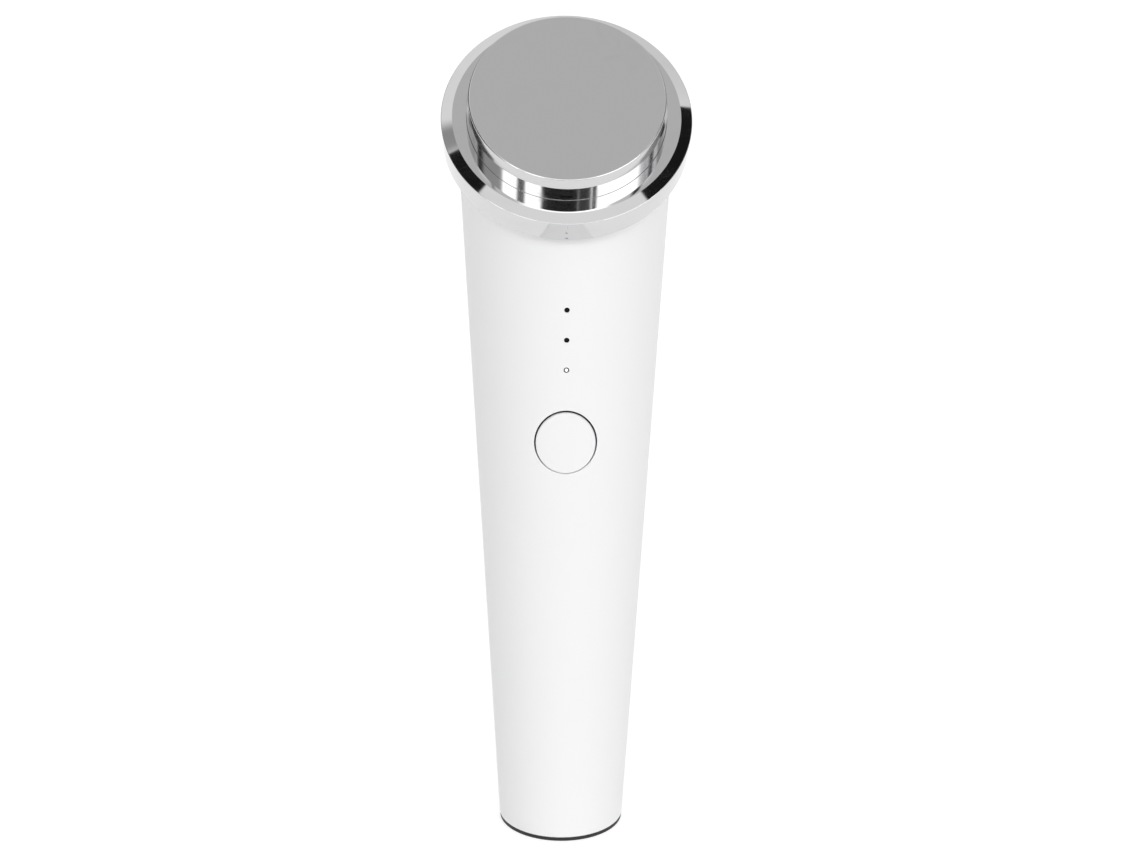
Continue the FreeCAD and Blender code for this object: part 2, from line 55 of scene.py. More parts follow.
def metres(rows):
    """Rows of millimetres as rows of metres."""
    return [tuple(value * MM for value in row) for row in rows]


# ---------------------------------------------------------------- the object's own dimensions
SHELL_Z = 0.9 * MM
SHELL_RADIUS = 13.0 * MM
TAPER = 0.056
WALL = 1.8 * MM
FOOT_EDGE = 0.3 * MM
BEND_Z = 125.0 * MM
HEAD_TILT = math.radians(40.5)
HEAD_Y = -4.1 * MM
HEAD_Z = 151.0 * MM
MOUTH_BACK = 21.2 * MM
COLLAR_RADIUS = 21.9 * MM
COLLAR_HEIGHT = 1.1 * MM
LEAN = math.atan(TAPER)
CONE_FOOT = SHELL_RADIUS - TAPER * SHELL_Z

# the button hangs a little low in its opening; both are bowed down at their sides, by across squared
BUTTON_Z = 91.8 * MM
BUTTON_HALF = (5.975 * MM, 6.575 * MM)
BUTTON_GAP = 0.3 * MM
BUTTON_SAG = 0.17 * MM
BUTTON_BOW = 0.0123 / MM
BUTTON_EDGE = 0.22 * MM
BUTTON_HOLE_EDGE = 0.2 * MM
CAP_DEPTH = 0.5 * MM
SKIRT_INSET = 0.04 * MM
SKIRT_PLAY = 0.01 * MM
FLANGE_REACH = 1.3 * MM
FLANGE_TOP = WALL + 0.15 * MM
FLANGE_DEPTH = 4.6 * MM
STEM_RADIUS = 1.6 * MM
STEM_DEPTH = 5.4 * MM
FRONT_RADIUS = CONE_FOOT + TAPER * BUTTON_Z

LIGHT_NAMES = ("low", "mid", "high")
LIGHT_LOW_Z = 107.4 * MM
LIGHT_PITCH = 6.35 * MM
LIGHT_HOLE = (0.56 * MM, 0.53 * MM, 0.53 * MM)
LIGHT_HOLE_EDGE = 0.07 * MM
LIGHT_PIN_MM = (0.31, 0.51, 0.51)

# profiles: radius, height and fillet of each corner, in millimetres until metres() turns them
RING_OUTLINE = metres((
    (21.95, 0, 0), (24.28, 0, 0.25), (24.5, 6.1, 0.14), (22.3, 6.8, 0.06), (19.52, 6.8, 0.06),
    (19.52, 5.4, 0), (20.9, 5.4, 0), (20.9, 1.3, 0), (21.95, 1.3, 0), (21.95, 0, 0)))
PLATE_OUTLINE = metres((
    (20.8, 4.1, 0), (20.8, 4.9, 0.1), (19.5, 4.9, 0.1), (19.5, 10.8, 0.15), (19.14, 13.2, 0.34),
    (0, 13.2, 0), (0, 12.2, 0), (18.7, 12.2, 0.4), (18.7, 4.1, 0), (20.8, 4.1, 0)))
SHROUD_OUTLINE = metres((
    (0.32, -2.0, 0), (0.55, -2.0, 0), (0.55, -0.04, 0.03), (0.32, -0.04, 0.03), (0.32, -2.0, 0)))

# grid of the handle: turns are measured from the front, levels from the floor
WINDOW_TURN = 0.53
WINDOW_HALF = 9.6 * MM
LIGHT_TURN = 0.085
LIGHT_HALF = 1.6 * MM
LIGHT_COLUMNS = 8
SIDE_COLUMNS = 12
BACK_COLUMNS = 48
FOOT_ROWS = 30
BUTTON_ROWS = 24
GAP_ROWS = 4
LIGHT_ROWS = 8
TOP_ROWS = 3
BEND_ROWS = 32
WINDOW_RINGS = 12
LIP_STEPS = 5
HOLE_WALL_RINGS = 3
SETTLING_PASSES = 8

# finer points of the meshes
FILLET_STEPS = 6
BUTTON_COLUMNS = 96
BUTTON_RINGS = 16
UNDER_SHARES = (0.9, 0.6, 0.3, 0.0)
SKIRT_RINGS = 4
LIGHT_STEPS = 40
HOLD = 0.02 * MM
HOLD_SHARE = 0.2
WELD = 2e-6
SHARP = math.radians(35.0)
TINY = 1e-9

# patterns of the finishes: features per metre, and how deep their bumps are in metres
GRAIN, GRAIN_DEPTH = 2600.0, 4e-6
FINE_GRAIN, FINE_GRAIN_DEPTH = 5000.0, 2e-6
RUBBER_GRAIN = 3200.0
GLOSS_DRIFT = 38.0
WIPED_FILM = 90.0
RIPPLE, RIPPLE_DEPTH = 60.0, 6e-6
TURNING_MARKS, TURNING_DEPTH = 9000.0, 4e-7
HANDLING_MARKS = 140.0
STREAKS, STREAK_DEPTH = 1400.0, 2e-6
CLOUDS = 260.0
TRACKS, TRACK_DEPTH = 260.0, 2e-5
FOAM_CELLS, CELL_DEPTH = 2400.0, 6e-5
FROST = 4000.0
CARD_DRIFT = 3.0

# ---------------------------------------------------------------- camera, floor and surroundings
CAMERA_PLACE = (-17.6 * MM, -620.7 * MM, 323.2 * MM)
CAMERA_AZIMUTH = math.radians(-1.75)
CAMERA_ELEVATION = math.radians(20.73)
CAMERA_ROLL = math.radians(0.44)
SENSOR_WIDTH = 36.0
CLIP_END = 20.0
FLOOR_HALF = 4.0
FLOOR_TONE = 0.35
FLOOR_DRIFT = 0.005
FLOOR_GLOW = 0.765
WHITE = (1.0, 1.0, 1.0, 1.0)

# azimuths are measured from the front towards +X, elevations from the floor, both in radians;
# each change of level is given as where it starts, where it ends and how much it is
FRONT_LEVEL = 1.04
FRONT_CENTRE = 0.12
SIDE_FALL = (0.45, 1.6, 0.78)
LEFT_FALL = (0.4, 1.5, 0.2)
BACK_RISE = (2.5, 2.9, 0.6)
HIGH_LEVEL = 0.97
HIGH_RIGHT_FALL = (1.5, 2.2, 0.12)
HIGH_FROM = (0.76, 0.84)
OVERHEAD_LEVEL = 0.615
OVERHEAD_FROM = (1.2, 1.32)
BACKDROP_LEVEL = 1.05

# azimuth centre and half width, lowest and highest elevation, softness, level; later ones lie on top
PANELS_AND_GAPS = {
    "front panel": (0.11, 0.83, 0.31, 0.72, 0.02, 2.7),
    "gap in the panel": (-0.07, 0.21, 0.08, 0.425, 0.012, 0.008),
    "gap's dim end": (0.214, 0.072, 0.08, 0.425, 0.012, 0.05),
    "right bar": (0.325, 0.026, 0.1, 0.45, 0.008, 0.01),
    "left bar": (-0.51, 0.045, 0.36, 0.56, 0.012, 0.12),
    "left grey card": (-0.87, 0.15, 0.58, 0.885, 0.014, 0.5),
    "upper left grey card": (-0.97, 0.1, 1.04, 1.3, 0.014, 0.5),
    "far left soft card": (-1.30, 0.16, 0.95, 1.12, 0.09, 0.36),
    "left black flag": (-0.915, 0.23, 0.885, 1.01, 0.014, 0.012),
    "right black flag": (0.775, 0.11, 0.82, 1.03, 0.012, 0.012),
    "right flag's middle": (0.96, 0.12, 0.874, 0.955, 0.008, 0.012),
    "right flag's far end": (1.37, 0.34, 0.875, 1.06, 0.014, 0.012),
    "upper right grey card": (1.0, 0.07, 1.06, 1.25, 0.014, 0.4),
}


# ---------------------------------------------------------------- placing
def head_points(points):
    """Points in the head's frame, whose Z is its axis, turned about X and moved to the ring's foot."""
    c, s = math.cos(HEAD_TILT), math.sin(HEAD_TILT)
    x, y, z = points[..., 0], points[..., 1], points[..., 2]
    return np.stack([x, HEAD_Y + c * y - s * z, HEAD_Z + s * y + c * z], -1)


def front_points(points):
    """Points given across, up and out from the button's centre, turned along the leaning front line."""
    c, s = math.cos(LEAN), math.sin(LEAN)
    across, up, out = points[..., 0], points[..., 1], points[..., 2]
    return np.stack([across, -FRONT_RADIUS - s * up - c * out, BUTTON_Z + c * up - s * out], -1)


def light_level(index):
    """Height of a light above the floor: even steps from the lowest."""
    return LIGHT_LOW_Z + index * LIGHT_PITCH


def light_up(index):
    """Place of a light up the front line from the button's centre."""
    return (light_level(index) - BUTTON_Z) / math.cos(LEAN)


def cone_ring(turn, level, inset=0.0):
    """Cone: radius grows with the level; x is radius x sin(turn), y is minus radius x cos(turn)."""
    radius = CONE_FOOT + TAPER * level - inset / math.cos(LEAN)
    return np.stack([radius * np.sin(turn), -radius * np.cos(turn), level + 0 * turn], -1)


def seen_from_front(points):
    """Across and up coordinates, square to the front line, of points on the handle."""
    c, s = math.cos(LEAN), math.sin(LEAN)
    up = -s * (points[..., 1] + FRONT_RADIUS) + c * (points[..., 2] - BUTTON_Z)
    return points[..., 0], up


def cone_behind(across, up, inset=0.0):
    """Points of the inset cone behind places seen square to the front line.

    A point's depth is the root of the cone's radius squared less across squared. The radius depends
    on the level and the level on the depth, so the level settles in a few passes.
    """
    shift = inset / math.cos(LEAN)
    level = BUTTON_Z + up
    for _ in range(SETTLING_PASSES):
        depth = np.sqrt((CONE_FOOT + TAPER * level - shift) ** 2 - across ** 2)
        level = BUTTON_Z + (up + math.sin(LEAN) * (FRONT_RADIUS - depth)) / math.cos(LEAN)
    depth = np.sqrt((CONE_FOOT + TAPER * level - shift) ** 2 - across ** 2)
    return np.stack([across, -depth, level], -1)


def bend_arc():
    """Centre (y, z), radius and first level of the arc behind the bend, square to the ring's foot.

    The arc touches the cone's back line and the line square to the ring's foot at its back edge,
    equally far from the point where the two lines meet.
    """
    slope = math.tan(HEAD_TILT)
    back_y = HEAD_Y + MOUTH_BACK * math.cos(HEAD_TILT)
    back_z = HEAD_Z + MOUTH_BACK * math.sin(HEAD_TILT)
    meet_z = (back_y + slope * back_z - CONE_FOOT) / (TAPER + slope)
    meet_y = CONE_FOOT + TAPER * meet_z
    reach = math.hypot(back_y - meet_y, back_z - meet_z)
    radius = reach / math.tan((LEAN + HEAD_TILT) / 2)
    start_y = meet_y - reach * math.sin(LEAN)
    start_z = meet_z - reach * math.cos(LEAN)
    return start_y - radius * math.cos(LEAN), start_z + radius * math.sin(LEAN), radius, start_z


def bend_ring(turn, tilt, inset=0.0):
    """Bend: ellipses in planes that tilt about one pivot line in front, from level to the ring's foot.

    An ellipse runs from the cone's straight front line to its back line, or past where the back
    starts to curve, to the arc; it is as wide as the cone at its own centre.
    """
    pivot = HEAD_Y - (HEAD_Z - BEND_Z) / math.tan(HEAD_TILT)
    cone = CONE_FOOT - inset / math.cos(LEAN)
    base = cone + TAPER * BEND_Z
    c, s = np.cos(tilt), np.sin(tilt)
    front = (-base - pivot) / (c + TAPER * s)
    back = (base - pivot) / (c - TAPER * s)
    arc_y, arc_z, arc_radius, arc_start = bend_arc()
    half = (pivot - arc_y) * c + (BEND_Z - arc_z) * s
    rest = (pivot - arc_y) ** 2 + (BEND_Z - arc_z) ** 2 - (arc_radius - inset) ** 2
    curved = -half + np.sqrt(np.maximum(half ** 2 - rest, 0))
    back = np.where(BEND_Z + back * s > arc_start, curved, back)
    middle = (front + back) / 2
    half_depth = (back - front) / 2
    half_width = cone + TAPER * (BEND_Z + middle * s)
    along = middle - half_depth * np.cos(turn)
    return np.stack([half_width * np.sin(turn), pivot + along * c, BEND_Z + along * s], -1)


# ---------------------------------------------------------------- meshes
def full_turn(steps):
    """Even angles of a full turn, as a row."""
    return np.linspace(0, 2 * math.pi, steps, endpoint=False)[None]


def quarter_turn(steps):
    """Angles from nought to a quarter turn in even steps, as a column."""
    return np.linspace(0, math.pi / 2, steps + 1)[:, None]


def grid_faces(rows, columns, first=0, closed=False):
    """Quads between neighbouring rows and columns of a grid of points, numbered row by row."""
    last = columns if closed else columns - 1
    row, column = np.meshgrid(np.arange(rows - 1), np.arange(last), indexing="ij")
    after = (column + 1) % columns
    quads = [row * columns + column, row * columns + after,
             (row + 1) * columns + after, (row + 1) * columns + column]
    return first + np.stack(quads, -1).reshape(-1, 4)


class Patchwork:
    """Collects grids of points into one mesh, whose shared edges are welded at the end."""

    def __init__(self):
        self.points = []
        self.faces = []
        self.count = 0

    def grid(self, points, closed=False, inward=False):
        """Add a grid of points; inward turns its faces round."""
        rows, columns = points.shape[:2]
        faces = grid_faces(rows, columns, self.count, closed)
        self.faces.append(faces[:, ::-1] if inward else faces)
        self.points.append(points.reshape(-1, 3))
        self.count += rows * columns

    def mesh(self, name):
        """Mesh of all grids, welded, smooth except at sharp edges."""
        mesh = bpy.data.meshes.new(name)
        mesh.from_pydata(np.concatenate(self.points), [], np.concatenate(self.faces))
        work = bmesh.new()
        work.from_mesh(mesh)
        bmesh.ops.remove_doubles(work, verts=work.verts, dist=WELD)
        bmesh.ops.dissolve_degenerate(work, edges=work.edges, dist=WELD / 4)
        work.to_mesh(mesh)
        work.free()
        mesh.shade_smooth()
        mesh.set_sharp_from_angle(angle=SHARP)
        return mesh


def rounded(corners):
    """Profile through (radius, height, fillet) corners, where each fillet is an arc of its radius.

    The arc's centre lies on the line that halves the corner, the fillet over the sine of the half
    angle away. A point held close to each end of the arc keeps the straight stretches flat in shading.
    """
    outline = []
    for index, (x, y, fillet) in enumerate(corners):
        corner = np.array([x, y])
        if fillet == 0:
            outline.append(corner[None])
            continue
        before = np.array(corners[index - 1][:2]) - corner
        after = np.array(corners[(index + 1) % len(corners)][:2]) - corner
        before = before / np.linalg.norm(before)
        after = after / np.linalg.norm(after)
        half = math.acos(np.clip(before @ after, -1, 1)) / 2
        middle = (before + after) / np.linalg.norm(before + after)
        centre = corner + middle * fillet / math.sin(half)
        swing = np.linspace(-1, 1, FILLET_STEPS + 1)[:, None] * (math.pi / 2 - half)
        side = (after - middle * (after @ middle)) / math.sin(half)
        arc = centre + fillet * (-middle * np.cos(swing) + side * np.sin(swing))
        hold = min(HOLD_SHARE * fillet, HOLD)
        outline.append(np.concatenate([[arc[0] + before * hold], arc, [arc[-1] + after * hold]]))
    return np.concatenate(outline)


def lathe(profile, steps, place, up):
    """Profile of (radius, height) turned about an axis: x is radius x cos, y is up plus radius x sin."""
    turn = full_turn(steps)
    radius, height = profile[:, 0, None], profile[:, 1, None]
    return place(np.stack([radius * np.cos(turn), up + radius * np.sin(turn), height + 0 * turn], -1))


def add_piece(name, mesh, body, slot, material, *replaced):
    """Object for a finished mesh: it rides on a body and stands for the CAD nodes it replaces."""
    piece = bpy.data.objects.new(name, mesh)
    bpy.context.scene.collection.objects.link(piece)
    mesh.materials.append(material)
    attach(piece, body)
    if replaced:
        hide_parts(*replaced)


def add_lathe(name, corners, steps, place, slot, material, *replaced, up=0.0):
    """Piece turned from a profile of rounded corners; it rides on the root body."""
    work = Patchwork()
    work.grid(lathe(rounded(corners), steps, place, up), closed=True)
    add_piece(name, work.mesh(name), "root", slot, material, *replaced)


# ---------------------------------------------------------------- handle
def handle_turns():
    """Turns of the handle's columns: close together round the button, wider behind."""
    side = np.linspace(LIGHT_TURN, WINDOW_TURN, SIDE_COLUMNS + 1)
    back = np.linspace(WINDOW_TURN, math.pi, BACK_COLUMNS + 1)[1:]
    middle = np.linspace(-LIGHT_TURN, LIGHT_TURN, LIGHT_COLUMNS + 1)[1:-1]
    half = np.concatenate([side, back])
    return np.concatenate([-half[::-1], middle, half])


def handle_bands():
    """Bands of the cone from its foot to the bend: lowest and highest level, rows and opening.

    The opening is None, the word button, or a light's number.
    """
    start = BUTTON_Z + WINDOW_HALF
    bands = [(SHELL_Z + FOOT_EDGE, BUTTON_Z - WINDOW_HALF, FOOT_ROWS, None),
             (BUTTON_Z - WINDOW_HALF, start, BUTTON_ROWS, "button")]
    for index in range(len(LIGHT_NAMES)):
        level = light_level(index)
        bands.append((start, level - LIGHT_HALF, GAP_ROWS, None))
        bands.append((level - LIGHT_HALF, level + LIGHT_HALF, LIGHT_ROWS, index))
        start = level + LIGHT_HALF
    bands.append((start, BEND_Z, TOP_ROWS, None))
    return bands


def between(values, low, high):
    """The values from low to high, ends included."""
    return values[(values > low - TINY) & (values < high + TINY)]


def window(columns, levels, centre_up, half_sizes, edge, bow=0.0):
    """Rings from a tile's border in to an oval opening, over its rounded edge and through the wall.

    The border is read in the plane seen square to the front line and blended there into the oval,
    whose sides sit lower by bow times across squared.
    Returns the outer surface's rings and the inner surface's rings; both end on the same ring.
    """
    low, high = levels[0], levels[-1]
    turn = np.concatenate([columns[:-1], np.full(len(levels) - 1, columns[-1]),
                           columns[::-1][:-1], np.full(len(levels) - 1, columns[0])])
    level = np.concatenate([np.full(len(columns) - 1, low), levels[:-1],
                            np.full(len(columns) - 1, high), levels[::-1][:-1]])
    fade = np.linspace(0, 1, WINDOW_RINGS + 1)[:, None]
    skins, bearings = [], []
    for inset, margin in ((0.0, edge), (WALL, 0.0)):
        across, up = seen_from_front(cone_ring(turn, level, inset))
        bearing = np.arctan2((up - centre_up) / half_sizes[1], across / half_sizes[0])
        oval_across = (half_sizes[0] + margin) * np.cos(bearing)
        oval_up = centre_up + (half_sizes[1] + margin) * np.sin(bearing) - bow * oval_across ** 2
        skins.append(cone_behind(across + (oval_across - across) * fade,
                                 up + (oval_up - up) * fade, inset))
        bearings.append(bearing)
    outside, inside = skins
    bearing = bearings[0]
    swing = quarter_turn(LIP_STEPS)[1:]
    grow = edge * (1 - np.sin(swing))
    across = (half_sizes[0] + grow) * np.cos(bearing)
    up = centre_up + (half_sizes[1] + grow) * np.sin(bearing) - bow * across ** 2
    sink = edge * (1 - np.cos(swing))[..., None]
    lip = cone_behind(across, up) + sink * np.array([0, math.cos(LEAN), math.sin(LEAN)])
    drop = np.linspace(0, 1, HOLE_WALL_RINGS + 1)[1:, None, None]
    wall = lip[-1] + (inside[-1] - lip[-1]) * drop
    return np.concatenate([outside, lip, wall]), inside


def handle_mesh():
    """Sleeve as one closed skin: outside, inside, button and light openings, foot lip and collar."""
    work = Patchwork()
    columns = handle_turns()
    foot = SHELL_Z + FOOT_EDGE
    centre = between(columns, -LIGHT_TURN, LIGHT_TURN)
    front = between(columns, -WINDOW_TURN, WINDOW_TURN)
    left, right = between(columns, -math.pi, -WINDOW_TURN), between(columns, WINDOW_TURN, math.pi)
    left_front = between(columns, -WINDOW_TURN, -LIGHT_TURN)
    right_front = between(columns, LIGHT_TURN, WINDOW_TURN)

    def tile(turn, levels):
        """Plain stretch of both skins; the inner one reaches down to the sleeve's very foot."""
        inner_levels = np.where(levels == foot, SHELL_Z, levels)
        work.grid(cone_ring(turn[None], levels[:, None]))
        work.grid(cone_ring(turn[None], inner_levels[:, None], WALL), inward=True)

    def opening(turn, levels, *shape):
        """Stretch of both skins with an oval hole."""
        outside, inside = window(turn, levels, *shape)
        work.grid(outside, closed=True)
        work.grid(inside, closed=True, inward=True)

    for low, high, rows, hole in handle_bands():
        levels = np.linspace(low, high, rows + 1)
        if hole is None:
            plain = (columns,)
        elif hole == "button":
            sizes = (BUTTON_HALF[0] + BUTTON_GAP, BUTTON_HALF[1] + BUTTON_GAP)
            opening(front, levels, 0.0, sizes, BUTTON_HOLE_EDGE, BUTTON_BOW)
            plain = (left, right)
        else:
            opening(centre, levels, light_up(hole), (LIGHT_HOLE[hole],) * 2, LIGHT_HOLE_EDGE)
            plain = (left, left_front, right_front, right)
        for turn in plain:
            tile(turn, levels)

    tilts = np.linspace(0, HEAD_TILT, BEND_ROWS + 1)[:, None]
    work.grid(bend_ring(columns[None], tilts))
    work.grid(bend_ring(columns[None], tilts, WALL), inward=True)

    swing = quarter_turn(LIP_STEPS)
    lip_radius = CONE_FOOT + TAPER * foot - FOOT_EDGE * (1 - np.cos(swing))
    lip_level = SHELL_Z + FOOT_EDGE * (1 - np.sin(swing))
    lip = np.stack([lip_radius * np.sin(columns), -lip_radius * np.cos(columns),
                    lip_level + 0 * columns], -1)
    inner = cone_ring(columns, np.array(SHELL_Z), WALL)
    work.grid(np.concatenate([lip, inner[None]]), inward=True)

    mouth = bend_ring(columns, np.array(HEAD_TILT))
    throat = bend_ring(columns, np.array(HEAD_TILT), WALL)
    axis = np.array([0, -math.sin(HEAD_TILT), math.cos(HEAD_TILT)])
    collar = [head_points(np.stack([COLLAR_RADIUS * np.sin(columns), -COLLAR_RADIUS * np.cos(columns),
                                    height + 0 * columns], -1)) for height in (0, COLLAR_HEIGHT)]
    work.grid(np.stack([mouth, *collar, throat + axis * COLLAR_HEIGHT, throat]))
    return work.mesh("handle")


# ---------------------------------------------------------------- button
def oval_ring(size, bearing, inset=0.0):
    """Oval of half sizes across and up on the inset cone, lowered by the sag and the bow."""
    across = size[0] * np.cos(bearing)
    return cone_behind(across, size[1] * np.sin(bearing) - BUTTON_SAG - BUTTON_BOW * across ** 2, inset)


def flat_ring(size, bearing, depth):
    """Oval of half sizes across and up, flat, at a depth behind the front line."""
    return front_points(np.stack([size[0] * np.cos(bearing), size[1] * np.sin(bearing),
                                  -depth + 0 * bearing], -1))


def button_cap_mesh(dish):
    """Button face: oval rings on the handle's own curve, dished a little, with a rounded rim.

    The dish is its depth times the square of one less the share of the way out squared. Rings grow
    from the centre to the rim, turn over it, drop to the cap's underside and close there.
    """
    bearing = full_turn(BUTTON_COLUMNS)
    half = np.array(BUTTON_HALF)[:, None, None]
    share = np.linspace(0, 1, BUTTON_RINGS + 1)[:, None]
    inward = np.array([0, math.cos(LEAN), math.sin(LEAN)])
    hollow = dish * (1 - share ** 2) ** 2
    top = oval_ring((half - BUTTON_EDGE) * share, bearing) + hollow[..., None] * inward
    swing = quarter_turn(FILLET_STEPS)[1:]
    sink = BUTTON_EDGE * (1 - np.cos(swing))
    rim = oval_ring(half + BUTTON_EDGE * (np.sin(swing) - 1), bearing) + sink[..., None] * inward
    side = oval_ring(half, bearing, CAP_DEPTH)
    under = oval_ring(half * np.array(UNDER_SHARES)[:, None], bearing, CAP_DEPTH)
    work = Patchwork()
    work.grid(np.concatenate([top, rim, side, under]), closed=True, inward=True)
    return work.mesh("button_cap")


def button_skirt_mesh():
    """Dark skirt under the button face: it drops straight, steps out into the flange behind the
    sleeve and closes round the stem.
    """
    bearing = full_turn(BUTTON_COLUMNS)
    half = np.array(BUTTON_HALF)[:, None, None]
    flange = [size + BUTTON_GAP + FLANGE_REACH for size in BUTTON_HALF]
    stem = (STEM_RADIUS, STEM_RADIUS)
    share = np.linspace(0, 1, SKIRT_RINGS + 1)[:, None]
    rings = [
        oval_ring((half - SKIRT_INSET) * share, bearing, CAP_DEPTH + SKIRT_PLAY),
        oval_ring(half - SKIRT_INSET, bearing, FLANGE_TOP),
        cone_behind(flange[0] * np.cos(bearing), flange[1] * np.sin(bearing), FLANGE_TOP),
        flat_ring(flange, bearing, FLANGE_DEPTH),
        flat_ring(stem, bearing, FLANGE_DEPTH),
        flat_ring(stem, bearing, STEM_DEPTH),
        flat_ring((0, 0), bearing, STEM_DEPTH),
    ]
    work = Patchwork()
    work.grid(np.concatenate(rings), closed=True, inward=True)
    return work.mesh("button_skirt")


def pin_outline(radius):
    """Light guide: a thick root behind the wall and a thin pin of a radius in millimetres through it."""
    return metres(((0, -8.7, 0), (1.0, -8.7, 0.1), (1.0, -2.6, 0.1), (radius, -2.6, 0),
                   (radius, -0.03, 0.06), (0, -0.01, 0)))


# ---------------------------------------------------------------- shader maths
class Value:
    """A socket that carries a number, with the arithmetic that adds Math nodes."""

    def __init__(self, shader, socket):
        self.shader = shader
        self.socket = socket

    def _math(self, operation, *terms):
        node = self.shader.node("ShaderNodeMath", {"operation": operation},
                                dict(enumerate(terms)))
        return Value(self.shader, node.outputs[0])

    def __add__(self, other):
        return self._math("ADD", self, other)

    def __sub__(self, other):
        return self._math("SUBTRACT", self, other)

    def __rsub__(self, other):
        return self._math("SUBTRACT", other, self)

    def __mul__(self, other):
        return self._math("MULTIPLY", self, other)

    def __pow__(self, other):
        return self._math("POWER", self, other)

    def angle_to(self, other):
        """Angle whose tangent is this value over the other, in radians, all the way round."""
        return self._math("ARCTAN2", self, other)

    def arcsine(self):
        """Angle whose sine is this value, in radians."""
        return self._math("ARCSINE", self)

    def apart(self, centre):
        """Distance from a centre."""
        return self._math("ABSOLUTE", self - centre)

    def between(self, low, high):
        """Smooth step from nought at low to one at high."""
        node = self.shader.node("ShaderNodeMapRange", {"interpolation_type": "SMOOTHSTEP"},
                                {"Value": self, "From Min": low, "From Max": high})
        return Value(self.shader, node.outputs[0])

    def change(self, low, high, amount):
        """Smooth step from nought at low to an amount at high."""
        return self.between(low, high) * amount

    __radd__ = __add__
    __rmul__ = __mul__


class Nodes:
    """A node tree under construction: one method adds any node, others name the usual ones."""

    def __init__(self, tree):
        self.tree = tree

    def node(self, kind, settings=None, inputs=None):
        """Add a node: its settings first, then the values or links of its sockets."""
        node = self.tree.nodes.new(kind)
        for name, value in (settings or {}).items():
            setattr(node, name, value)
        for name, value in (inputs or {}).items():
            self.feed(node.inputs[name], value)
        return node

    def feed(self, socket, value):
        """Link a value or output to a socket, or set the socket's own number."""
        if isinstance(value, Value):
            self.tree.links.new(value.socket, socket)
        elif isinstance(value, bpy.types.NodeSocket):
            self.tree.links.new(value, socket)
        else:
            socket.default_value = value

    def axes(self, vector):
        """The three parts of a vector."""
        node = self.node("ShaderNodeSeparateXYZ", {}, {0: vector})
        return [Value(self, output) for output in node.outputs]

    def blend(self, share, low, high):
        """Colour that goes from low to high with a share."""
        node = self.node("ShaderNodeMix", {"data_type": "RGBA"}, {0: share})
        node.inputs[6].default_value = (*low, 1.0)
        node.inputs[7].default_value = (*high, 1.0)
        return node.outputs[2]


class Finish(Nodes):
    """A surface material: the constants sit on its own sockets, patterns are fed to them."""

    def __init__(self, name, colour, roughness, metallic=0.0, **constants):
        self.material = bpy.data.materials.new(name)
        self.material.use_nodes = True
        super().__init__(self.material.node_tree)
        self.surface = self.tree.nodes["Principled BSDF"]
        self.place = self.node("ShaderNodeTexCoord").outputs["Object"]
        self.set(Base_Color=(*colour, 1.0), Roughness=roughness, Metallic=metallic, **constants)

    def set(self, **values):
        """Feed sockets of the surface by name."""
        for name, value in values.items():
            self.feed(self.surface.inputs[name.replace("_", " ")], value)

    def noise(self, scale, detail=4.0, stretch=None, distortion=0.0):
        """Noise on the piece's own coordinates, in features per metre."""
        place = self.place
        if stretch:
            place = self.node("ShaderNodeMapping", {}, {"Vector": place, "Scale": stretch}).outputs[0]
        node = self.node("ShaderNodeTexNoise", {}, {"Vector": place, "Scale": scale, "Detail": detail,
                                                    "Distortion": distortion})
        return Value(self, node.outputs["Fac"])

    def bump(self, height, depth, strength=1.0):
        """Bump of a height pattern, with its depth in metres."""
        node = self.node("ShaderNodeBump", {}, {"Height": height, "Distance": depth,
                                                "Strength": strength})
        self.set(Normal=node.outputs[0])


def shade(colour, factor):
    """A colour made lighter or darker."""
    return tuple(min(channel * factor, 1.0) for channel in colour)


def grey(tone):
    """The colour with all channels alike."""
    return (tone, tone, tone)


# ---------------------------------------------------------------- materials
def moulded(name, colour, roughness=0.38, grain=GRAIN, depth=GRAIN_DEPTH, vary=0.02, **constants):
    """Moulded plastic or rubber: fine surface grain, slow drift of gloss, faint drift of tone."""
    shader = Finish(name, colour, roughness, **constants)
    fine = shader.noise(grain, 3.0)
    slow = shader.noise(GLOSS_DRIFT, 2.0)
    shader.set(Base_Color=shader.blend(slow, shade(colour, 1 - vary), shade(colour, 1 + vary)),
               Roughness=roughness * (0.9 + slow * 0.2) + (fine - 0.5) * 0.05)
    shader.bump(fine, depth)
    return shader.material


def plated(name, colour, roughness=0.035):
    """Mirror plating over moulded plastic: faint ripple, a film of wiped marks."""
    shader = Finish(name, colour, roughness, metallic=1.0)
    film = shader.noise(WIPED_FILM, 5.0, (1.0, 1.0, 2.5), 0.6).between(0.45, 0.75)
    ripple = shader.noise(RIPPLE, 1.0)
    shader.set(Roughness=film * 0.035 + roughness,
               Base_Color=shader.blend(film, colour, shade(colour, 0.97)))
    shader.bump(ripple, RIPPLE_DEPTH, 0.5)
    return shader.material


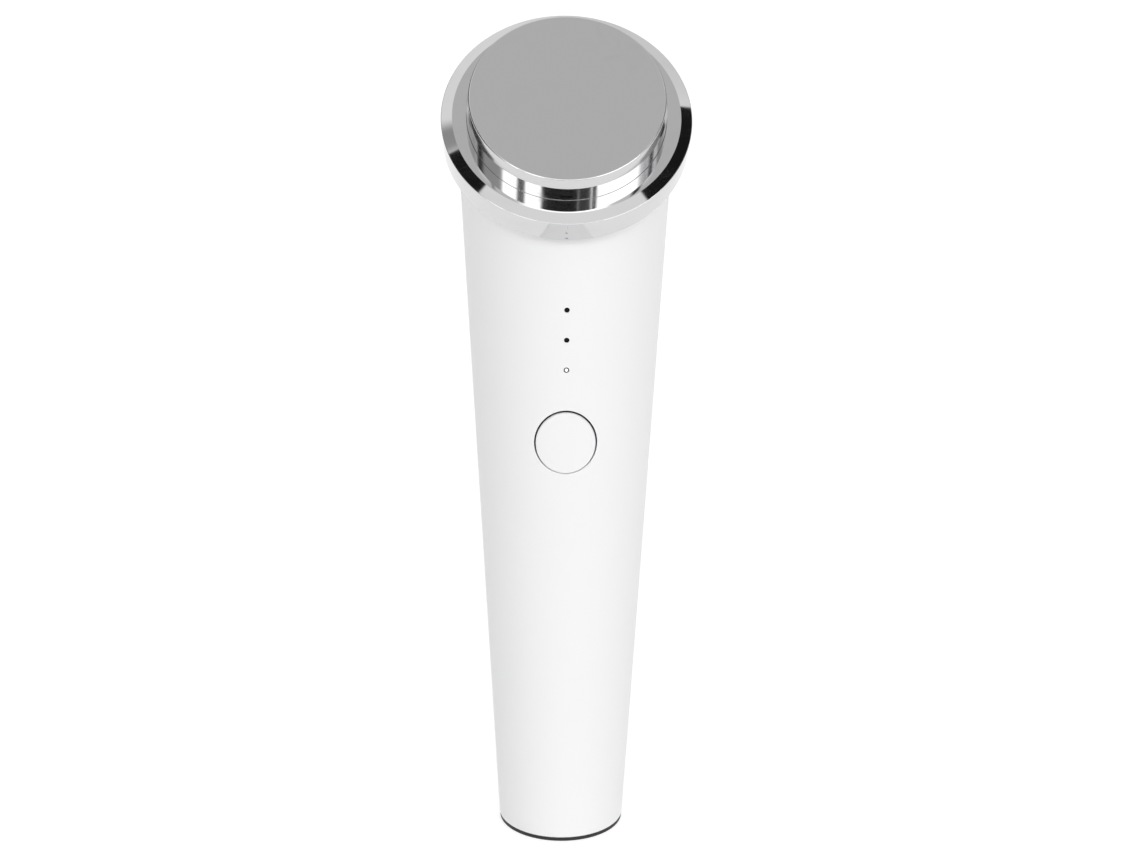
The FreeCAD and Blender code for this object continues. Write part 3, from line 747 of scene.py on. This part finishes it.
def polished(name, colour, roughness=0.09):
    """Polished steel: very fine turning marks round the head's axis, faint handling marks."""
    shader = Finish(name, colour, roughness, metallic=1.0)
    turned = shader.node("ShaderNodeMapping", {"vector_type": "TEXTURE"}, {
        "Vector": shader.place, "Location": (0, HEAD_Y, HEAD_Z), "Rotation": (HEAD_TILT, 0, 0)})
    x, y, height = shader.axes(turned.outputs[0])
    radius = (x * x + y * y) ** 0.5
    lines = shader.node("ShaderNodeCombineXYZ", {}, {0: radius, 2: height}).outputs[0]
    rings = shader.node("ShaderNodeTexNoise", {}, {"Vector": lines, "Scale": TURNING_MARKS,
                                                    "Detail": 2.0})
    rings = Value(shader, rings.outputs["Fac"])
    marks = shader.noise(HANDLING_MARKS, 6.0, distortion=1.2).between(0.55, 0.8)
    shader.set(Roughness=rings * 0.05 + marks * 0.05 + roughness,
               Base_Color=shader.blend(marks, colour, shade(colour, 0.965)))
    shader.bump(rings, TURNING_DEPTH, 0.6)
    return shader.material


def worked_metal(name, colour, roughness=0.3):
    """Stamped, rolled or plated small metal part: streaked grain and uneven gloss."""
    shader = Finish(name, colour, roughness, metallic=1.0)
    streaks = shader.noise(STREAKS, 3.0, (1.0, 1.0, 0.12))
    cloud = shader.noise(CLOUDS, 3.0)
    shader.set(Roughness=streaks * 0.12 + cloud * 0.1 + (roughness - 0.08),
               Base_Color=shader.blend(cloud, shade(colour, 0.9), colour))
    shader.bump(streaks, STREAK_DEPTH)
    return shader.material


def board_mask(name, colour):
    """Circuit board: glossy solder mask with a faint pattern of buried tracks."""
    shader = Finish(name, colour, 0.3, Coat_Weight=0.25)
    x, _, z = shader.axes(shader.place)
    flat = shader.node("ShaderNodeCombineXYZ", {}, {0: z, 1: x}).outputs[0]
    weave = shader.node("ShaderNodeTexBrick", {"offset": 0.35}, {
        "Vector": flat, "Scale": TRACKS, "Mortar Size": 0.06, "Mortar Smooth": 0.2})
    tracks = Value(shader, weave.outputs["Fac"])
    shader.set(Base_Color=shader.blend(tracks, colour, shade(colour, 1.5)),
               Roughness=0.34 - tracks * 0.08)
    shader.bump(tracks, TRACK_DEPTH)
    return shader.material


def sponge(name, colour):
    """Closed-cell foam: round cells in the surface, darker in each cell's hollow and lighter towards its
    rim, which is painted shade.
    """
    shader = Finish(name, colour, 0.85)
    cells = shader.node("ShaderNodeTexVoronoi", {}, {"Vector": shader.place, "Scale": FOAM_CELLS})
    cells = Value(shader, cells.outputs["Distance"])
    # painted shade: the colour follows the cells' bump, darkest in each cell's hollow
    shader.set(Base_Color=shader.blend(cells, shade(colour, 0.6), shade(colour, 1.4)))
    shader.bump(cells, CELL_DEPTH)
    return shader.material


def glowing(name, colour, strength):
    """Lit light guide: frosted, with a faint drift of its glow."""
    shader = Finish(name, grey(0.95), 0.4, Emission_Strength=strength)
    frost = shader.noise(FROST, 2.0)
    shader.set(Emission_Color=shader.blend(frost, shade(colour, 0.94), colour),
               Roughness=frost * 0.2 + 0.35)
    return shader.material


def floor_card():
    """Pale floor: a matt card that glows a little, with a slow drift of tone."""
    shader = Finish("floor_card", grey(FLOOR_TONE), 0.9, Emission_Color=WHITE,
                    Emission_Strength=FLOOR_GLOW)
    shader.set(Base_Color=shader.blend(shader.noise(CARD_DRIFT, 2.0), grey(FLOOR_TONE - FLOOR_DRIFT),
                                       grey(FLOOR_TONE + FLOOR_DRIFT)))
    return shader.material


SCREW_TONE = (0.45, 0.45, 0.46)
FRAME_TONE = (0.42, 0.43, 0.44)
SILICONE_TONE = (0.24, 0.24, 0.25)
BOARD_GREEN = (0.02, 0.16, 0.07)
LEAD_RED = (0.5, 0.03, 0.025)

# carried-over CAD nodes: maker, material name, colour and, where the maker takes it, roughness
FINISHES = {
    "base_cap": (moulded, "dark_cap_plastic", (0.011, 0.011, 0.012), 0.55),
    "foot_pad": (moulded, "foot_rubber", (0.012, 0.012, 0.013), 0.72),
    "base_screws": (worked_metal, "screw_steel", SCREW_TONE, 0.32),
    "charging_socket_shell": (worked_metal, "socket_steel", (0.62, 0.62, 0.63), 0.26),
    "charging_socket_tongue": (moulded, "socket_tongue_plastic", grey(0.02), 0.4),
    "charging_board": (board_mask, "charging_board_mask", BOARD_GREEN),
    "charging_wires": (moulded, "red_lead_insulation", LEAD_RED, 0.4),
    "inner_frame": (moulded, "frame_plastic", FRAME_TONE, 0.5),
    "battery_cell": (moulded, "cell_wrap_film", (0.05, 0.2, 0.42), 0.26),
    "battery_tabs": (worked_metal, "nickel_strip", (0.6, 0.58, 0.54), 0.3),
    "battery_foam": (sponge, "packing_foam", (0.06, 0.06, 0.065)),
    "battery_wire_red": (moulded, "red_battery_lead", LEAD_RED, 0.4),
    "battery_wire_black": (moulded, "black_battery_lead", grey(0.015), 0.4),
    "control_board": (board_mask, "control_board_mask", BOARD_GREEN),
    "board_screws": (worked_metal, "board_screw_steel", SCREW_TONE, 0.32),
    "control_chip": (moulded, "chip_resin", (0.02, 0.02, 0.022), 0.55),
    "driver_inductor": (moulded, "ferrite", (0.035, 0.033, 0.033), 0.6),
    "board_capacitors": (moulded, "capacitor_ceramic", (0.42, 0.27, 0.14), 0.45),
    "indicator_leds": (moulded, "lamp_resin", (0.85, 0.85, 0.7), 0.3),
    "light_baffle": (moulded, "baffle_plastic", (0.015, 0.015, 0.016), 0.6),
    "switch_body": (moulded, "switch_plastic", grey(0.02), 0.45),
    "switch_plunger": (moulded, "plunger_plastic", (0.55, 0.08, 0.03), 0.4),
    "plate_gasket": (moulded, "gasket_silicone", (0.3, 0.3, 0.31), 0.6),
    "piezo_disc": (moulded, "piezo_ceramic", (0.62, 0.58, 0.48), 0.5),
    "piezo_damper": (moulded, "damper_silicone", SILICONE_TONE, 0.65),
    "head_carrier": (moulded, "carrier_plastic", FRAME_TONE, 0.5),
    "carrier_screws": (worked_metal, "carrier_screw_steel", SCREW_TONE, 0.32),
    "collar_seal": (moulded, "seal_silicone", SILICONE_TONE, 0.6),
    "transducer_wires": (moulded, "yellow_lead_insulation", (0.6, 0.42, 0.03), 0.4),
}


# ---------------------------------------------------------------- sizes and colours
class ScrubberLooks(bpy.types.PropertyGroup):
    """Sizes and colours that a user may change before running the pieces' operators."""

    shell_colour: FloatVectorProperty(
        name="Shell colour", description="Colour of the white moulded handle and button",
        subtype="COLOR", default=(0.835, 0.835, 0.84), min=0.0, max=1.0)
    shell_roughness: FloatProperty(
        name="Shell roughness", description="Roughness of the moulded shell's surface",
        subtype="FACTOR", default=0.36, min=0.0, max=1.0)
    plating_colour: FloatVectorProperty(
        name="Plating colour", description="Colour of the head ring's bright plating",
        subtype="COLOR", default=(0.66, 0.66, 0.667), min=0.0, max=1.0)
    plate_colour: FloatVectorProperty(
        name="Plate colour", description="Colour of the polished steel treatment plate",
        subtype="COLOR", default=(0.655, 0.655, 0.66), min=0.0, max=1.0)
    button_dish: FloatProperty(
        name="Button dish", description="Depth of the shallow dish in the button's face",
        subtype="DISTANCE", unit="LENGTH", default=0.00012, min=0.0, max=0.0005)
    lamp_strength: FloatProperty(
        name="Lamp strength", description="Brightness of the lit indicator", default=1.0, min=0.0)
    ring_steps: IntProperty(
        name="Ring steps", description="Segments round the head's pieces", default=256, min=64, max=512)
    focal_length: FloatProperty(
        name="Focal length", description="Focal length of the camera in millimetres",
        default=102.6, min=20.0)


def looks():
    """The scene's own sizes and colours."""
    return bpy.context.scene.scrubber_looks


def shell_finish():
    """White moulded plastic of the handle and button, made once."""
    found = bpy.data.materials.get("white_shell_plastic")
    return found or moulded("white_shell_plastic", tuple(looks().shell_colour), looks().shell_roughness,
                            vary=0.006, IOR=1.5)


# ---------------------------------------------------------------- pieces
class SCRUBBER_OT_handle(bpy.types.Operator):
    """Build the one-piece white handle with its openings and collar"""

    bl_idname = "scrubber.handle"
    bl_label = "Handle"

    def execute(self, context):
        add_piece("handle_skin", handle_mesh(), "root", "white_shell", shell_finish(), "handle_sleeve")
        return {"FINISHED"}


class SCRUBBER_OT_button(bpy.types.Operator):
    """Build the flush oval power button with its flange and stem"""

    bl_idname = "scrubber.button"
    bl_label = "Power button"

    def execute(self, context):
        add_piece("button_cap", button_cap_mesh(looks().button_dish), "button", "white_shell",
                  shell_finish(), "power_button")
        rubber = moulded("button_skirt_rubber", (0.012, 0.012, 0.013), 0.6, RUBBER_GRAIN)
        add_piece("button_skirt", button_skirt_mesh(), "button", "dark_rubber", rubber, "power_button")
        return {"FINISHED"}


class SCRUBBER_OT_lights(bpy.types.Operator):
    """Build the three light guides, the lowest one lit inside its dark shroud"""

    bl_idname = "scrubber.lights"
    bl_label = "Indicator lights"

    def execute(self, context):
        lit = glowing("lit_light_guide", grey(1.0), looks().lamp_strength)
        dark = moulded("dark_light_guide", (0.004, 0.004, 0.005), 0.5, FINE_GRAIN, FINE_GRAIN_DEPTH,
                       0.05, Specular_IOR_Level=0.12)
        add_lathe("light_shroud", SHROUD_OUTLINE, LIGHT_STEPS, front_points, "light_pipe_dark", dark,
                  up=light_up(0))
        for index, name in enumerate(LIGHT_NAMES):
            slot, material = ("light_pipe_dark", dark) if index else ("light_pipe_lit", lit)
            add_lathe(f"light_pin_{name}", pin_outline(LIGHT_PIN_MM[index]), LIGHT_STEPS, front_points,
                      slot, material, f"light_guide_{name}", up=light_up(index))
        return {"FINISHED"}


class SCRUBBER_OT_head(bpy.types.Operator):
    """Build the bright plated ring and the polished treatment plate"""

    bl_idname = "scrubber.head"
    bl_label = "Head"

    def execute(self, context):
        steps = looks().ring_steps
        plating = plated("bright_plated_ring", tuple(looks().plating_colour))
        steel = polished("polished_steel_plate", tuple(looks().plate_colour))
        add_lathe("plated_ring", RING_OUTLINE, steps, head_points, "bright_plating", plating, "head_ring")
        add_lathe("steel_plate", PLATE_OUTLINE, steps, head_points, "polished_steel", steel,
                  "treatment_plate")
        return {"FINISHED"}


class SCRUBBER_OT_inside(bpy.types.Operator):
    """Give the foot, the electronics and every other carried-over node its own finish"""

    bl_idname = "scrubber.inside"
    bl_label = "Foot and inside"

    def execute(self, context):
        for node, (maker, *settings) in FINISHES.items():
            mesh = NODES[node].data
            mesh.materials.clear()
            mesh.materials.append(maker(*settings))
        return {"FINISHED"}


# ---------------------------------------------------------------- stage
def camera_turn():
    """Turn of the camera: it looks back along its azimuth and elevation, rolled about that line."""
    level = math.cos(CAMERA_ELEVATION)
    back = Vector((math.sin(CAMERA_AZIMUTH) * level, -math.cos(CAMERA_AZIMUTH) * level,
                   math.sin(CAMERA_ELEVATION)))
    right = Vector((0, 0, 1)).cross(back).normalized()
    up = back.cross(right)
    c, s = math.cos(CAMERA_ROLL), math.sin(CAMERA_ROLL)
    return Matrix((c * right + s * up, c * up - s * right, back)).transposed()


def inside_window(azimuth, height, centre, half, low, high, edge):
    """One for directions inside a window of azimuth and elevation, nought outside, soft at its edge."""
    across = 1 - azimuth.apart(centre).between(half - edge, half + edge)
    return across * height.between(low - edge, low + edge) * (1 - height.between(high - edge, high + edge))


def laid_over(level, share, value):
    """A level with another value laid over it by a share."""
    return level * (1 - share) + share * value


def studio_light():
    """Surroundings by direction, as a studio's panels and flags make them.

    Low down the level is about 1 in front, falls to the sides and rises again behind; higher up it is
    even, and overhead dimmer. A bright panel stands in front, and dark gaps between the panels give
    the plating its contrast. The backdrop itself is plain.
    """
    world = bpy.data.worlds.new("studio")
    world.use_nodes = True
    nodes = Nodes(world.node_tree)
    x, y, z = nodes.axes(nodes.node("ShaderNodeTexCoord").outputs["Generated"])
    azimuth = x.angle_to(0 - y)
    height = z.arcsine()
    low = FRONT_LEVEL - azimuth.apart(FRONT_CENTRE).change(*SIDE_FALL) - (0 - azimuth).change(*LEFT_FALL)
    low = low + azimuth.apart(0.0).change(*BACK_RISE)
    high = HIGH_LEVEL - azimuth.change(*HIGH_RIGHT_FALL)
    level = laid_over(low, height.between(*HIGH_FROM), high)
    level = laid_over(level, height.between(*OVERHEAD_FROM), OVERHEAD_LEVEL)
    for *sides, value in PANELS_AND_GAPS.values():
        level = laid_over(level, inside_window(azimuth, height, *sides), value)
    seen = Value(nodes, nodes.node("ShaderNodeLightPath").outputs["Is Camera Ray"])
    background = world.node_tree.nodes["Background"]
    nodes.feed(background.inputs["Color"], WHITE)
    nodes.feed(background.inputs["Strength"], laid_over(level, seen, BACKDROP_LEVEL))
    bpy.context.scene.world = world


class SCRUBBER_OT_stage(bpy.types.Operator):
    """Set up the pale floor, the soft studio light and the camera"""

    bl_idname = "scrubber.stage"
    bl_label = "Stage"

    def execute(self, context):
        scene = context.scene
        scene.view_settings.view_transform = "Standard"
        mesh = bpy.data.meshes.new("floor")
        corners = [(x * FLOOR_HALF, y * FLOOR_HALF, 0) for x, y in ((-1, -1), (1, -1), (1, 1), (-1, 1))]
        mesh.from_pydata(corners, [], [(0, 1, 2, 3)])
        mesh.materials.append(floor_card())
        floor = bpy.data.objects.new("floor", mesh)
        scene.collection.objects.link(floor)
        studio_light()
        data = bpy.data.cameras.new("camera")
        data.lens = looks().focal_length
        data.sensor_width = SENSOR_WIDTH
        data.clip_end = CLIP_END
        camera = bpy.data.objects.new("camera", data)
        scene.collection.objects.link(camera)
        camera.matrix_world = Matrix.Translation(CAMERA_PLACE) @ camera_turn().to_4x4()
        scene.camera = camera
        return {"FINISHED"}


PIECES = (SCRUBBER_OT_handle, SCRUBBER_OT_button, SCRUBBER_OT_lights, SCRUBBER_OT_head,
          SCRUBBER_OT_inside, SCRUBBER_OT_stage)


class SCRUBBER_PT_pieces(bpy.types.Panel):
    """Sizes, colours and the pieces' operators, in building order"""

    bl_idname = "SCRUBBER_PT_pieces"
    bl_label = "Skin scrubber"
    bl_space_type = "VIEW_3D"
    bl_region_type = "UI"
    bl_category = "Scrubber"

    def draw(self, context):
        for name in ScrubberLooks.__annotations__:
            self.layout.prop(context.scene.scrubber_looks, name)
        for piece in PIECES:
            self.layout.operator(piece.bl_idname)


CLASSES = (ScrubberLooks, *PIECES, SCRUBBER_PT_pieces)


def register():
    """Register the classes and the scene's own sizes and colours."""
    for item in CLASSES:
        bpy.utils.register_class(item)
    bpy.types.Scene.scrubber_looks = PointerProperty(type=ScrubberLooks)


def unregister():
    """Take away what register added."""
    del bpy.types.Scene.scrubber_looks
    for item in reversed(CLASSES):
        bpy.utils.unregister_class(item)


def main():
    """Build every piece in order."""
    register()
    bpy.ops.scrubber.handle()
    bpy.ops.scrubber.button()
    bpy.ops.scrubber.lights()
    bpy.ops.scrubber.head()
    bpy.ops.scrubber.inside()
    bpy.ops.scrubber.stage()


if __name__ == "__main__":
    main()
